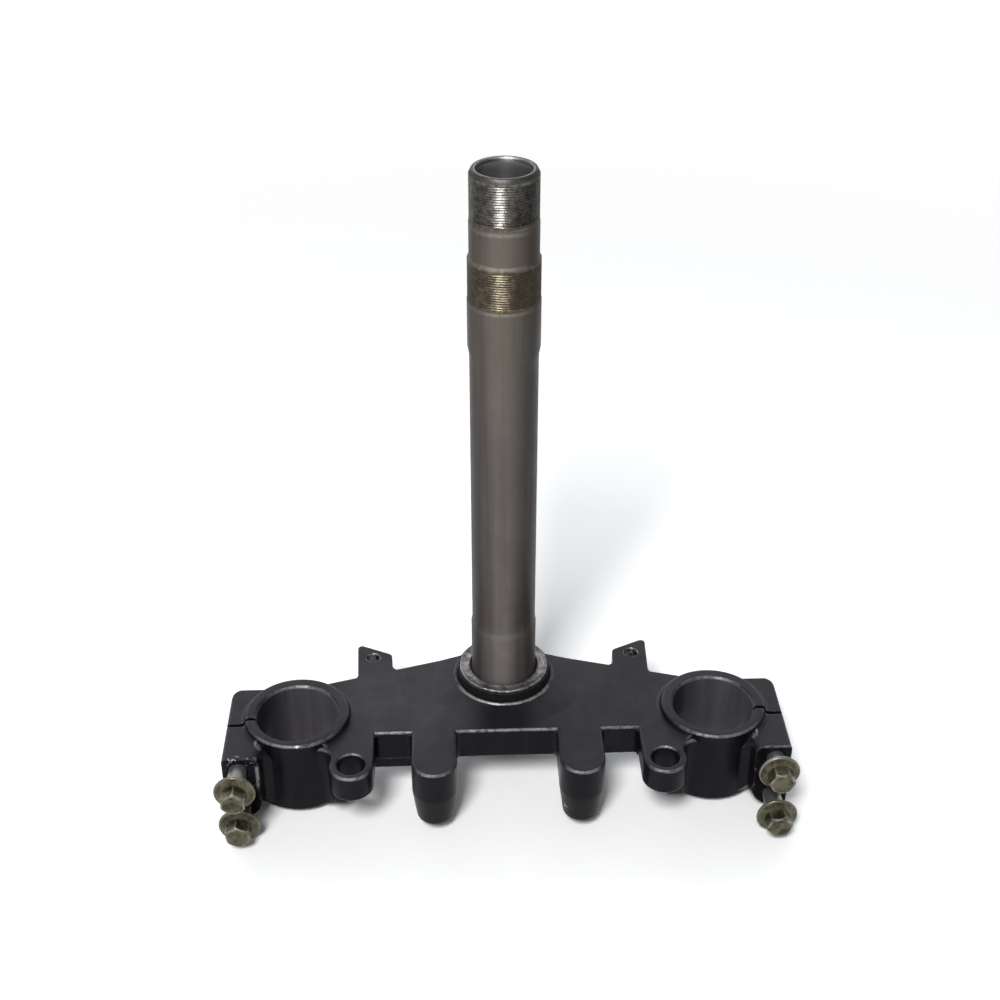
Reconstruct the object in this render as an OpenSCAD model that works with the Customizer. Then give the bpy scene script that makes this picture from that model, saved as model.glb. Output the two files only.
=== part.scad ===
// Lower triple clamp of a motorcycle fork, with its steering stem,
// lower bearing race, dust seal and four flange-head pinch bolts.
// Millimetres. The origin is on the stem axis at the top face of the
// lower bearing race. +Z runs up the stem, -Y is the front of the bike
// and the fork tubes stand at +X and -X.

/* [Fork clamps] */
// Distance between the two fork tube axes
fork_spacing = 182; // [178:1:190]
// Distance of the fork tube axes in front of the stem axis
fork_offset = 27; // [25:0.5:29]
// Diameter of the fork tubes
fork_tube_d = 35; // [33:0.5:37]
// Wall of the clamp rings at the side of the bore
clamp_wall = 5.2; // [4.6:0.1:5.8]
// How far the outside of a ring sits behind the axis of its bore
clamp_shift = 0.7; // [0:0.1:1]
// Height of the clamp rings above the bridge
clamp_rise = 3.5; // [2.5:0.25:5]
// Depth of the clamp rings below the top of the bridge
clamp_depth = 33.5; // [32:0.5:40]
// Chamfer at both mouths of a fork bore
mouth_chamfer = 1; // [0.5:0.1:1.5]
// Blend between a clamp ring and the top of the bridge
ring_fillet = 2.4; // [1.5:0.1:2.8]

/* [Pinch ears] */
// Reach of an ear from the fork axis to its outer end
ear_reach = 30.5; // [29.5:0.25:34]
// Front face of an ear, in front of the fork axis
ear_front = 26.5; // [25:0.5:30]
// Rear face of an ear, behind the fork axis
ear_rear = 21; // [19:0.5:22]
// Width of a front ear across the bike, at its front face
ear_thickness = 15; // [14.5:0.25:16]
// Slant of the inner side of a front ear, in degrees
ear_slant = 18; // [12:1:20]
// Radius of the upper inner edge of a front ear
ear_top_r = 4; // [2:0.25:5]
// Radius of the lower inner edge of a front ear
ear_foot_r = 10; // [7:0.5:12]
// Radius of the hollow between a front ear and its clamp ring
ear_root_r = 4; // [3:0.25:5]
// Radius of the rear corner of an ear
ear_corner_r = 7; // [3:0.5:8]
// Width of the slit between the two ears
slit_w = 1.8; // [1.2:0.1:3]
// Distance of the slit in front of the fork axis
slit_offset = 3.5; // [0:0.25:5]

/* [Pinch bolts] */
// Thread diameter of the pinch bolts
bolt_d = 8; // [6:0.5:8]
// Length of a bolt under its flange
bolt_len = 45; // [42:1:48]
// Distance of the bolt axes outside the fork axis
bolt_reach = 23.9; // [23.5:0.1:25]
// Depth of the upper bolt axis below the top of an ear
bolt_top_depth = 6.5; // [6:0.25:8]
// Height of the lower bolt axis above the bottom of an ear
bolt_bottom_height = 6.5; // [6:0.25:8]
// Diameter of the flange under a bolt head
flange_d = 17.6; // [16:0.2:19]
// Thickness of the rim of the flange
flange_rim = 1.6; // [1.2:0.1:2]
// Height of the cone between the flange and the hexagon
flange_cone = 1.2; // [0.5:0.1:1.5]
// Width of the hexagon across its flats
hex_af = 10; // [9:0.25:12]
// Height of the hexagon
hex_h = 5.7; // [5:0.1:8]
// Depth of the spot face under a flange
spot_depth = 1; // [0.4:0.1:1.5]
// How far the left upper bolt is backed out
left_upper_out = 11.8; // [0:0.1:13]
// Turn of its hexagon, in degrees
left_upper_turn = 27; // [0:1:60]
// How far the left lower bolt is backed out
left_lower_out = 10.1; // [0:0.1:13]
// Turn of its hexagon, in degrees
left_lower_turn = 36; // [0:1:60]
// How far the right upper bolt is backed out
right_upper_out = 7.8; // [0:0.1:13]
// Turn of its hexagon, in degrees
right_upper_turn = 2; // [0:1:60]
// How far the right lower bolt is backed out
right_lower_out = 12.4; // [0:0.1:13]
// Turn of its hexagon, in degrees
right_lower_turn = 9; // [0:1:60]

/* [Bridge] */
// Thickness of the bridge
bridge_t = 15.5; // [14:0.5:18]
// Front wall of the bridge, in front of the stem axis
bridge_front = 37.5; // [37:0.25:39]
// Sweep of the rear edges, in degrees
rear_sweep = 16.3; // [15:0.1:17]
// Distance of the rear edges from the stem axis
rear_edge = 19.4; // [18:0.2:21]
// Rounding of the outer edges of the casting
edge_r = 1.4; // [0.8:0.1:1.8]
// Blend in the inner corners of the bridge
corner_fillet = 2.5; // [1.5:0.25:3.5]
// Blend under the bridge, along the sides of the stops
under_fillet = 3; // [1.5:0.25:4]

/* [Steering stops] */
// Distance between the centre lines of the two stops
stop_spacing = 63; // [60:1:66]
// Width of a stop at the bridge
stop_w = 19.4; // [18:0.2:21]
// Width of a stop near its lower end
stop_tip_w = 16.2; // [15:0.2:17]
// Front of the stops, in front of the stem axis
stop_front = 65.2; // [60:0.2:68]
// Depth of the stops below the top of the bridge
stop_depth = 31.5; // [28:0.5:32]
// Rounding of the lower end of a stop
stop_tip_r = 3.5; // [2:0.25:4]

/* [Mudguard bosses] */
// Distance between the two mudguard holes
mudguard_spacing = 133; // [130:1:136]
// Mudguard holes, in front of the stem axis
mudguard_offset = 56.5; // [54:0.5:59]
// Diameter of the mudguard holes
mudguard_hole_d = 12; // [8:0.5:13]
// Diameter of the bosses
mudguard_boss_d = 18.8; // [17:0.2:20]
// Height of the bosses
mudguard_boss_h = 12.8; // [10:0.2:14]
// Radius of the hollow between a boss and its clamp ring
web_r = 5.5; // [5:0.25:7]
// Front of the flat foot of the web there, in front of the fork axis
web_foot = 19; // [16:0.5:21]

/* [Rear tabs] */
// Thickness of the rear tabs
tab_t = 7; // [5:0.5:10]
// Diameter of the holes in the rear tabs
tab_hole_d = 6; // [4:0.5:7]
// Distance between the two tab holes
tab_hole_spacing = 118.8; // [116:0.2:121]
// Tab holes, behind the stem axis
tab_hole_y = 14; // [13:0.25:15]
// Width of a tab on the inner side of its hole
tab_in = 8.6; // [7:0.2:10]
// Width of a tab on the outer side of its hole
tab_out = 7.4; // [6.5:0.1:9]
// Rear corner of a tab behind its hole, on the inner side
tab_low = 2; // [1.5:0.25:5]
// Rear corner of a tab behind its hole, on the outer side
tab_high = 9.9; // [7:0.2:11]

/* [Lock pad] */
// Depth of the pad below the bridge, at the left notch
lock_pad_h = 5; // [3:0.5:7]

/* [Steering stem] */
// Height of the stem above the origin
stem_top = 233.1; // [210:0.1:260]
// Diameter of the plain shaft
shaft_d = 27.6; // [26:0.1:28]
// Bore of the stem
stem_bore_d = 20; // [16:0.5:22]
// Diameter of the seat of the lower bearing race and the dust seal
seat_d = 29.1; // [29:0.1:30]
// Step on the radius from that seat to the foot of the stem above it
foot_step = 0.35; // [0.1:0.05:0.5]
// Height of the foot of the stem above the origin
foot_h = 25; // [18:0.5:30]
// Diameter of the upper bearing journal
upper_journal_d = 29; // [28.8:0.1:29.1]
// Length of the upper bearing journal
upper_journal_len = 20; // [12:0.5:26]
// Outer diameter of the upper thread
top_thread_d = 26.8; // [25:0.1:27]
// Length of the upper thread, with its chamfer
top_thread_len = 20.4; // [16:0.2:24]
// Diameter of the plain neck between the threads
neck_d = 27.2; // [26.8:0.1:27.6]
// Length of the neck
neck_len = 14; // [10:0.5:18]
// Outer diameter of the lower thread
low_thread_d = 28.6; // [28:0.1:28.7]
// Length of the lower thread
low_thread_len = 17.8; // [14:0.2:22]
// Diameter of the stem where it is pressed into the bridge
press_d = 31; // [30.2:0.2:33]

/* [Stem boss] */
// Rim of the boss round the stem, outside the lip
stem_boss_rim = 1.9; // [1.5:0.1:3]
// Diameter of the boss below the bridge
lower_boss_d = 42; // [38:0.5:44]
// Depth of that boss below the top of the bridge
lower_boss_depth = 26; // [22:0.5:30]
// Wall of the raised lip round the seal
lip_w = 1.8; // [1.4:0.1:2.2]
// Height of the lip above the bridge
lip_h = 1.6; // [1.3:0.1:2.2]
// Width of the gentle cone round the lip
skirt_w = 13; // [9:0.5:13.5]
// Height of that cone
skirt_h = 1; // [0.6:0.1:1.1]

/* [Bearing race and seal] */
// Width of the lower bearing race, from its bore to its outside
race_w = 5.15; // [4.9:0.05:5.3]
// Thickness of the race
race_t = 3.6; // [3:0.1:6]
// Radius of the balls that run in the track
ball_r = 3.2; // [2.5:0.1:4]
// Depth of the ball track
track_depth = 0.7; // [0.3:0.1:1]
// Thickness of the dust seal under the race
seal_t = 3; // [2:0.1:4]
// Wall of the dust seal round the race
seal_wall = 0.75; // [0.6:0.05:0.9]
// How far the top of the race stands above that wall
seal_drop = 1; // [0.6:0.1:1.6]

/* [Fits] */
// Radial clearance of a bolt in the tapped rear ear
thread_gap = 0.1; // [0.05:0.05:0.2]
// Radial clearance of a bolt in the front ear
bolt_gap = 0.4; // [0.2:0.05:0.6]
// Radial clearance of the race inside the wall of the dust seal
race_gap = 0.05; // [0.05:0.05:0.1]
// Radial clearance of the dust seal inside the lip
seal_gap = 0.3; // [0.2:0.05:0.5]

/* [Hidden] */
$fn = 96;

paint = "#2b2b2f";
steel = "#6f6762";
race_steel = "#9a9894";
rubber = "#141214";
zinc = "#6c6a4e";

// length by which a cutter or a root runs past the face that it meets
over = 1;
// depth by which a hollow blend runs into the face beside it
seam = 0.1;
// how far the edge bars reach into the casting behind them
bar_depth = 6;
// chamfers of turned parts, bolt tips, hexagons and drilled holes
turned_chamfer = 1;
tip_chamfer = 1.5;
hex_chamfer = 0.25;
hole_chamfer = 0.7;
tab_hole_chamfer = 0.35;
// length of the taper between the upper bearing journal and the shaft
shaft_taper = 4;
// blend at the foot of a rear tab and rounding of its corners
tab_foot_r = 3;
tab_in_r = 3;
tab_out_r = 1.8;

// heights
bridge_z = -(race_t + seal_t);
upper_bolt_z = -bolt_top_depth;
lower_bolt_z = bolt_bottom_height - clamp_depth;
neck_top = stem_top - top_thread_len;
neck_bottom = neck_top - neck_len;
low_thread_bottom = neck_bottom - low_thread_len;
upper_journal_bottom = low_thread_bottom - upper_journal_len;

// places in plan, for the +X side
fork_x = fork_spacing / 2;
fork_y = -fork_offset;
clamp_r = fork_tube_d / 2 + clamp_wall;
ear_end_x = fork_x + ear_reach;
ear_in_x = ear_end_x - ear_thickness;
ear_front_y = fork_y - ear_front;
ear_rear_y = fork_y + ear_rear;
slit_y = fork_y - slit_offset;
bolt_x = fork_x + bolt_reach;
bolt_seat_y = ear_front_y + spot_depth;
stop_x = stop_spacing / 2;
stop_r = stop_w / 2;
stop_y = stop_r - stop_front;
boss_x = mudguard_spacing / 2;
boss_r = mudguard_boss_d / 2;
front_y = -bridge_front;
ring_c = [fork_x, fork_y + clamp_shift];
boss_c = [boss_x, -mudguard_offset];

// radii round the stem
seat_r = seat_d / 2;
foot_r = seat_r - foot_step;
race_r = seat_r + race_w;
seal_r = race_r + race_gap + seal_wall;
lip_in_r = seal_r + seal_gap;
lip_r = lip_in_r + lip_w;
stem_boss_r = lip_r + stem_boss_rim;

// rear edge of the bridge at x, moved inwards by inset
function rear_y(x, inset = 0) =
    (rear_edge - inset) / cos(rear_sweep) - abs(x) * tan(rear_sweep);

// point where the line from p touches the circle c, r, on its outer side
function touch(p, c, r) =
    let (d = p - c, a = atan2(d[1], d[0]) - acos(r / norm(d)))
    c + r * [cos(a), sin(a)];

// centre of a circle of radius r that touches the circles a, ra and b, rb
function between(a, ra, b, rb, r) =
    let (d = norm(b - a), u = (b - a) / d,
         s = (pow(ra + r, 2) - pow(rb + r, 2) + d * d) / (2 * d))
    a + s * u + sqrt(pow(ra + r, 2) - s * s) * [-u[1], u[0]];

// the corner p of an outline between the points a and b, rounded to radius r
function round_corner(a, p, b, r, steps = 6) =
    let (u = (a - p) / norm(a - p), v = (b - p) / norm(b - p),
         half = acos(u * v) / 2,
         c = p + (u + v) / norm(u + v) * r / sin(half),
         s = p + u * r / tan(half) - c, e = p + v * r / tan(half) - c,
         a0 = atan2(s[1], s[0]),
         turn = atan2(s[0] * e[1] - s[1] * e[0], s * e))
    [for (i = [0 : steps]) c + r * [cos(a0 + turn * i / steps), sin(a0 + turn * i / steps)]];

// the part at x above and its mirror image at -x
module both_sides() {
    children();
    mirror([1, 0, 0]) children();
}

// section of a block, w wide and h deep, with its outer corners rounded
module soft_section(w, h, r) {
    translate([0, -h]) square([w - r, h]);
    translate([w - r, r - h]) square([r, h - 2 * r]);
    for (z = [-r, r - h])
        translate([w - r, z]) circle(r);
}

// filling of radius r in the corner p between the walls towards a and b
module corner_fill(a, p, b, r) {
    u = (a - p) / norm(a - p);
    v = (b - p) / norm(b - p);
    half = acos(u * v) / 2;
    t = r / tan(half);
    difference() {
        polygon([
            p - over * (u + v),
            p + t * u - over * v,
            p + t * u,
            p + t * v,
            p + t * v - over * u,
        ]);
        translate(p + (u + v) / norm(u + v) * r / sin(half)) circle(r);
    }
}

// turned block with soft edges, its top at z = 0
module soft_disc(r, h) {
    rotate_extrude() soft_section(r, h, edge_r);
}

// bar from x0 to x1 with a soft edge along y = front, its top at z = 0
module front_bar(x0, x1, front, h) {
    translate([x0, front + bar_depth, 0])
        rotate([90, 0, 90])
            linear_extrude(x1 - x0)
                mirror([1, 0]) soft_section(bar_depth, h, edge_r);
}

// section along y, extruded from y0 to y1
module run_y(y0, y1) {
    translate([0, y1, 0]) rotate([90, 0, 0]) linear_extrude(y1 - y0) children();
}

// half of the section of a steering stop, from its centre line outwards
module stop_half() {
    c = [stop_tip_w / 2 - stop_tip_r, stop_tip_r - stop_depth];
    polygon([
        [0, 0],
        [stop_r - edge_r, 0],
        [stop_r - edge_r, -edge_r],
        [stop_r, -edge_r],
        [stop_r, -bridge_t],
        touch([stop_r, -bridge_t], c, stop_tip_r),
        c,
        [c[0], -stop_depth],
        [0, -stop_depth],
    ]);
    translate([stop_r - edge_r, -edge_r]) circle(edge_r);
    translate(c) circle(stop_tip_r);
}

module steering_stop() {
    root = [stop_r, -bridge_t];
    side = touch(root, [stop_tip_w / 2 - stop_tip_r, stop_tip_r - stop_depth], stop_tip_r);
    translate([stop_x, 0, 0]) {
        translate([0, stop_y, 0]) rotate_extrude() stop_half();
        run_y(stop_y, front_y + bar_depth) {
            stop_half();
            mirror([1, 0]) stop_half();
        }
        run_y(front_y + edge_r, front_y + bar_depth) {
            corner_fill(root + [over, 0], root, side, under_fillet);
            mirror([1, 0]) corner_fill(root + [over, 0], root, side, under_fillet);
        }
    }
}

module mudguard_boss() {
    translate([boss_c[0], boss_c[1], 0]) soft_disc(boss_r, mudguard_boss_h);
    translate([boss_x, 0, 0])
        run_y(-mudguard_offset, front_y + bar_depth) {
            mirror([1, 0]) soft_section(boss_r, mudguard_boss_h, edge_r);
            translate([0, -mudguard_boss_h])
                square([boss_r - 2 * over, mudguard_boss_h]);
        }
}

// web from a clamp ring to its boss, hollow in front and sloping below
module boss_web() {
    c = between(ring_c, clamp_r - seam, boss_c, boss_r - seam, web_r);
    inner = ring_c - [clamp_r / 2, 0];
    depth = clamp_depth - edge_r;
    root_r = boss_r - over;
    difference() {
        intersection() {
            translate([0, 0, -depth])
                linear_extrude(depth)
                    polygon([
                        ring_c,
                        inner,
                        boss_c + root_r * (inner - boss_c) / norm(inner - boss_c),
                        boss_c + root_r * (c - boss_c) / norm(c - boss_c),
                        c,
                    ]);
            translate([boss_x, 0, 0])
                rotate([90, 0, 90])
                    linear_extrude(fork_x - boss_x + over)
                        polygon([
                            [fork_y + clamp_r, over],
                            [fork_y + clamp_r, -depth],
                            [fork_y - web_foot, -depth],
                            [-mudguard_offset - boss_r, -mudguard_boss_h],
                            [-mudguard_offset - boss_r, over],
                        ]);
        }
        translate([c[0], c[1], 0])
            rotate_extrude() {
                translate([0, -clamp_depth]) square([web_r, clamp_depth + over]);
                difference() {
                    translate([0, -edge_r]) square([web_r + edge_r, edge_r + over]);
                    translate([web_r + edge_r, -edge_r]) circle(edge_r);
                }
            }
    }
}

// blend between the front wall and a side wall at x, open towards side
module corner_blend(x, side) {
    f = corner_fillet;
    translate([x, front_y, -bridge_t + edge_r])
        linear_extrude(bridge_t - 2 * edge_r)
            difference() {
                translate([side > 0 ? -over : -f, -f]) square([f + over, f + over]);
                translate([side * f, -f]) circle(f);
            }
}

// plate between the two clamps
module bridge() {
    translate([0, 0, -bridge_t])
        linear_extrude(bridge_t)
            polygon([
                [-fork_x, front_y + bar_depth - over],
                [fork_x, front_y + bar_depth - over],
                [fork_x, rear_y(fork_x, bar_depth - over)],
                [0, rear_y(0, bar_depth - over)],
                [-fork_x, rear_y(fork_x, bar_depth - over)],
            ]);
    front_bar(-boss_x, boss_x, front_y, bridge_t);
    both_sides() {
        rotate([0, 0, -rear_sweep])
            translate([0, rear_edge - bar_depth, 0])
                rotate([90, 0, 90])
                    linear_extrude(fork_x)
                        soft_section(bar_depth, bridge_t, edge_r);
        corner_blend(stop_x - stop_r, -1);
        corner_blend(stop_x + stop_r, 1);
        corner_blend(boss_x - boss_r, -1);
    }
}

// pad under the bridge between the left stop and the left boss
module lock_pad() {
    translate([0, 0, edge_r - bridge_t])
        front_bar(boss_r - boss_x - over, over - stop_x - stop_r, front_y,
                  lock_pad_h + edge_r);
}

// boss, lip and gentle cone round the stem
module stem_boss() {
    soft_disc(stem_boss_r, bridge_t);
    soft_disc(lower_boss_d / 2, lower_boss_depth);
    rotate_extrude() {
        translate([lip_in_r, -over]) square([lip_w, lip_h + over - lip_w / 2]);
        translate([lip_in_r + lip_w / 2, lip_h - lip_w / 2]) circle(lip_w / 2);
    }
    intersection() {
        cylinder(h = skirt_h, r1 = lip_r + skirt_w, r2 = lip_r);
        linear_extrude(skirt_h)
            polygon([
                [-stop_x, front_y + edge_r],
                [stop_x, front_y + edge_r],
                [stop_x, rear_y(stop_x, edge_r)],
                [0, rear_y(0, edge_r)],
                [-stop_x, rear_y(stop_x, edge_r)],
            ]);
    }
}

// places its children with the front edge of the inner side of a front ear
// as origin and that side as the y axis
module at_ear_side() {
    translate([ear_in_x, ear_front_y, 0]) rotate([0, 0, ear_slant]) children();
}

// ear of the clamp, with soft edges and the slant of its inner side
module ear() {
    root_x = fork_x + clamp_wall;
    side_x = ear_in_x - ear_front * tan(ear_slant);
    length = ear_rear_y - ear_front_y;
    difference() {
        intersection() {
            translate([0, 0, -clamp_depth])
                linear_extrude(clamp_depth) {
                    translate([side_x, ear_front_y])
                        square([ear_end_x - side_x, length - ear_corner_r]);
                    translate([root_x, fork_y])
                        square([ear_end_x - root_x - ear_corner_r, ear_rear]);
                    translate([ear_end_x - ear_corner_r, ear_rear_y - ear_corner_r])
                        circle(ear_corner_r);
                }
            translate([root_x, 0, 0])
                run_y(ear_front_y, ear_rear_y)
                    soft_section(ear_end_x - root_x, clamp_depth, edge_r);
            translate([root_x, fork_y, 0])
                rotate([90, 0, 90])
                    linear_extrude(ear_end_x - root_x) {
                        soft_section(ear_rear, clamp_depth, edge_r);
                        mirror([1, 0]) soft_section(ear_front, clamp_depth, edge_r);
                    }
        }
        at_ear_side()
            run_y(-ear_front, ear_front)
                difference() {
                    translate([-ear_front, -clamp_depth - over])
                        square([ear_front + ear_foot_r, clamp_depth + 2 * over]);
                    polygon([
                        [0, ear_foot_r - clamp_depth],
                        [0, -ear_top_r],
                        [ear_top_r, -ear_top_r],
                        [ear_top_r, 2 * over],
                        [ear_foot_r + over, 2 * over],
                        [ear_foot_r + over, ear_foot_r - clamp_depth],
                    ]);
                    translate([ear_top_r, -ear_top_r]) circle(ear_top_r);
                    translate([ear_foot_r, ear_foot_r - clamp_depth]) circle(ear_foot_r);
                }
    }
}

// hollow blend between a front ear and its clamp ring; its top slopes down
// from the upper edge of the ear, and its front rises towards the lower one
module ear_root() {
    f = ear_root_r;
    d = ring_c - [ear_in_x, ear_front_y];
    ring = [d * [cos(ear_slant), sin(ear_slant)], d * [-sin(ear_slant), cos(ear_slant)]];
    c = [seam - f, ring[1] - sqrt(pow(clamp_r - seam + f, 2) - pow(seam - f - ring[0], 2))];
    shoulder = ear_top_r * (1 - cos(45));
    fall = 2 * shoulder + seam;
    root = ear_foot_r / 2;
    reach = f + clamp_r / 2;
    bottom = edge_r - clamp_depth;
    at_ear_side()
        intersection() {
            translate([0, 0, -clamp_depth])
                linear_extrude(clamp_depth)
                    difference() {
                        polygon([ring, c, [root, c[1]], [root, ring[1]]]);
                        translate(c) circle(f);
                    }
            run_y(0, ring[1])
                polygon([
                    [-reach, bottom],
                    [root, bottom],
                    [root, -ear_top_r],
                    [shoulder, shoulder - fall],
                    [-reach, -reach - fall],
                ]);
            translate([-reach, 0, 0])
                rotate([90, 0, 90])
                    linear_extrude(reach + root)
                        polygon([
                            [c[1], 0],
                            [c[1], ear_foot_r - clamp_depth],
                            [c[1] + f + over, bottom],
                            [ring[1], bottom],
                            [ring[1], 0],
                        ]);
        }
}

// ring round the fork tube, with its blend into the flat tops beside it
module clamp_ring() {
    c = between(ring_c, clamp_r - seam, boss_c, boss_r - seam, web_r);
    translate([ring_c[0], ring_c[1], clamp_rise])
        soft_disc(clamp_r, clamp_rise + clamp_depth);
    intersection() {
        translate([ring_c[0], ring_c[1], 0])
            rotate_extrude()
                translate([clamp_r, 0])
                    difference() {
                        translate([-over, -over]) square(ring_fillet + over);
                        translate([ring_fillet, ring_fillet]) circle(ring_fillet);
                    }
        translate([0, 0, -over])
            linear_extrude(over + ring_fillet) {
                difference() {
                    polygon([
                        boss_c,
                        c,
                        ring_c,
                        [fork_x, rear_y(fork_x, edge_r)],
                        [boss_x, rear_y(boss_x, edge_r)],
                    ]);
                    translate(c) circle(web_r + edge_r + seam);
                }
                intersection() {
                    translate([fork_x, ear_front_y + edge_r])
                        square([ear_reach - edge_r, ear_front + ear_rear - 2 * edge_r]);
                    translate([ear_in_x, ear_front_y])
                        rotate(ear_slant)
                            translate([ear_top_r + seam, -ear_front])
                                square([ear_thickness, 2 * (ear_front + ear_rear)]);
                }
            }
    }
}

// flat tab behind the bridge
module rear_tab() {
    x = tab_hole_spacing / 2;
    low = [x - tab_in, tab_hole_y + tab_low];
    high = [x + tab_out, tab_hole_y + tab_high];
    in_x = low[0] - over / 2;
    out_x = high[0] - over;
    foot_in = [in_x, rear_y(in_x, edge_r)];
    foot_out = [out_x, rear_y(out_x, edge_r)];
    along = bar_depth * [cos(rear_sweep), -sin(rear_sweep)];
    translate([0, 0, -tab_t])
        linear_extrude(tab_t)
            polygon([
                foot_in - along - [0, bar_depth],
                each round_corner(foot_in - along, foot_in, low, tab_foot_r),
                each round_corner(foot_in, low, high, tab_in_r),
                each round_corner(low, high, foot_out, tab_out_r),
                each round_corner(high, foot_out, foot_out + along, tab_foot_r),
                foot_out + along - [0, bar_depth],
            ]);
}

// hole with a small chamfer at its top, cut down from z = 0
module drilled(r, depth, chamfer) {
    translate([0, 0, -depth - over]) cylinder(h = depth + 2 * over, r = r);
    translate([0, 0, -chamfer]) cylinder(h = chamfer, r1 = r, r2 = r + chamfer);
    cylinder(h = over, r = r + chamfer);
}

// everything that is bored, slit and drilled in one clamp
module clamp_cuts() {
    height = clamp_rise + clamp_depth;
    bore_r = fork_tube_d / 2;
    translate([fork_x, fork_y, clamp_rise]) drilled(bore_r, height, mouth_chamfer);
    translate([fork_x, fork_y, -clamp_depth])
        cylinder(h = mouth_chamfer, r1 = bore_r + mouth_chamfer, r2 = bore_r);
    translate([fork_x + bore_r - clamp_wall, slit_y - slit_w / 2, -clamp_depth - over])
        cube([ear_reach - bore_r + clamp_wall + over, slit_w, height + 2 * over]);
    for (z = [upper_bolt_z, lower_bolt_z])
        translate([bolt_x, 0, z]) {
            run_y(slit_y, ear_rear_y + over) circle(bolt_d / 2 + thread_gap);
            run_y(ear_front_y - over, slit_y) circle(bolt_d / 2 + bolt_gap);
            run_y(ear_front_y - over, bolt_seat_y) circle(flange_d / 2 + over);
        }
}

module yoke() {
    color(paint)
        translate([0, 0, bridge_z])
            difference() {
                union() {
                    bridge();
                    stem_boss();
                    lock_pad();
                    both_sides() {
                        clamp_ring();
                        ear();
                        ear_root();
                        steering_stop();
                        mudguard_boss();
                        boss_web();
                        rear_tab();
                    }
                }
                both_sides() {
                    clamp_cuts();
                    translate([boss_x, -mudguard_offset, 0])
                        drilled(mudguard_hole_d / 2, mudguard_boss_h, hole_chamfer);
                    translate([tab_hole_spacing / 2, tab_hole_y, 0])
                        drilled(tab_hole_d / 2, bridge_t, tab_hole_chamfer);
                }
                translate([0, 0, -lower_boss_depth - over])
                    cylinder(h = lower_boss_depth + 2 * over, r = press_d / 2);
                cylinder(h = lip_h + over, r = lip_in_r);
            }
}

module steering_stem() {
    bore_r = stem_bore_d / 2;
    bottom = bridge_z - lower_boss_depth;
    color(steel)
        rotate_extrude()
            polygon([
                [bore_r, bottom],
                [press_d / 2 - turned_chamfer, bottom],
                [press_d / 2, bottom + turned_chamfer],
                [press_d / 2, bridge_z],
                [seat_r, bridge_z],
                [seat_r, -turned_chamfer],
                [foot_r, 0],
                [foot_r, foot_h],
                [shaft_d / 2, foot_h + turned_chamfer],
                [shaft_d / 2, upper_journal_bottom - shaft_taper],
                [upper_journal_d / 2, upper_journal_bottom],
                [upper_journal_d / 2, low_thread_bottom],
                [low_thread_d / 2, low_thread_bottom],
                [low_thread_d / 2, neck_bottom - turned_chamfer],
                [neck_d / 2, neck_bottom],
                [neck_d / 2, neck_top],
                [top_thread_d / 2, neck_top + turned_chamfer],
                [top_thread_d / 2, stem_top - 2 * turned_chamfer],
                [top_thread_d / 2 - turned_chamfer, stem_top],
                [bore_r + turned_chamfer, stem_top],
                [bore_r, stem_top - 2 * turned_chamfer],
            ]);
}

module lower_bearing_race() {
    track_r = seat_r + race_w / 2;
    bevel = turned_chamfer / 2;
    color(race_steel)
        rotate_extrude()
            difference() {
                polygon([
                    [seat_r, -race_t],
                    [race_r - bevel, -race_t],
                    [race_r, bevel - race_t],
                    [race_r, -bevel],
                    [race_r - bevel, 0],
                    [seat_r + turned_chamfer, 0],
                    [seat_r, -turned_chamfer],
                ]);
                translate([track_r, ball_r - track_depth]) circle(ball_r);
            }
}

// rubber washer with a thin wall round the race
module dust_seal() {
    height = seal_t + race_t - seal_drop;
    bead = seal_wall / 2;
    color(rubber)
        translate([0, 0, bridge_z])
            rotate_extrude() {
                translate([seat_r, 0]) square([seal_r - seat_r, seal_t]);
                translate([seal_r - seal_wall, 0]) square([seal_wall, height - bead]);
                translate([seal_r - bead, height - bead]) circle(bead);
            }
}

// bolt with its flange face at y = 0, head towards the front
module pinch_bolt(side, z, out, turn) {
    hex_r = hex_af / 2 / cos(30);
    hex_z = flange_rim + flange_cone;
    bead = flange_rim / 2;
    color(zinc)
        translate([side * bolt_x, bolt_seat_y - out, bridge_z + z])
            rotate([90, 0, 0])
                rotate([0, 0, turn]) {
                    translate([0, 0, tip_chamfer - bolt_len])
                        cylinder(h = bolt_len - tip_chamfer + over, r = bolt_d / 2);
                    translate([0, 0, -bolt_len])
                        cylinder(h = tip_chamfer, r1 = bolt_d / 2 - turned_chamfer, r2 = bolt_d / 2);
                    cylinder(h = flange_rim, r = flange_d / 2 - bead);
                    rotate_extrude() translate([flange_d / 2 - bead, bead]) circle(bead);
                    translate([0, 0, flange_rim])
                        cylinder(h = flange_cone, r1 = flange_d / 2 - bead, r2 = hex_r);
                    intersection() {
                        cylinder(h = hex_z + hex_h, r = hex_r, $fn = 6);
                        cylinder(h = hex_z + hex_h, r1 = hex_r + hex_z + hex_h,
                                 r2 = hex_af / 2 - hex_chamfer);
                    }
                }
}

module left_upper_pinch_bolt() {
    pinch_bolt(-1, upper_bolt_z, left_upper_out, left_upper_turn);
}

module left_lower_pinch_bolt() {
    pinch_bolt(-1, lower_bolt_z, left_lower_out, left_lower_turn);
}

module right_upper_pinch_bolt() {
    pinch_bolt(1, upper_bolt_z, right_upper_out, right_upper_turn);
}

module right_lower_pinch_bolt() {
    pinch_bolt(1, lower_bolt_z, right_lower_out, right_lower_turn);
}

yoke();
steering_stem();
lower_bearing_race();
dust_seal();
left_upper_pinch_bolt();
left_lower_pinch_bolt();
right_upper_pinch_bolt();
right_lower_pinch_bolt();
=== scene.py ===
import math

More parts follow.
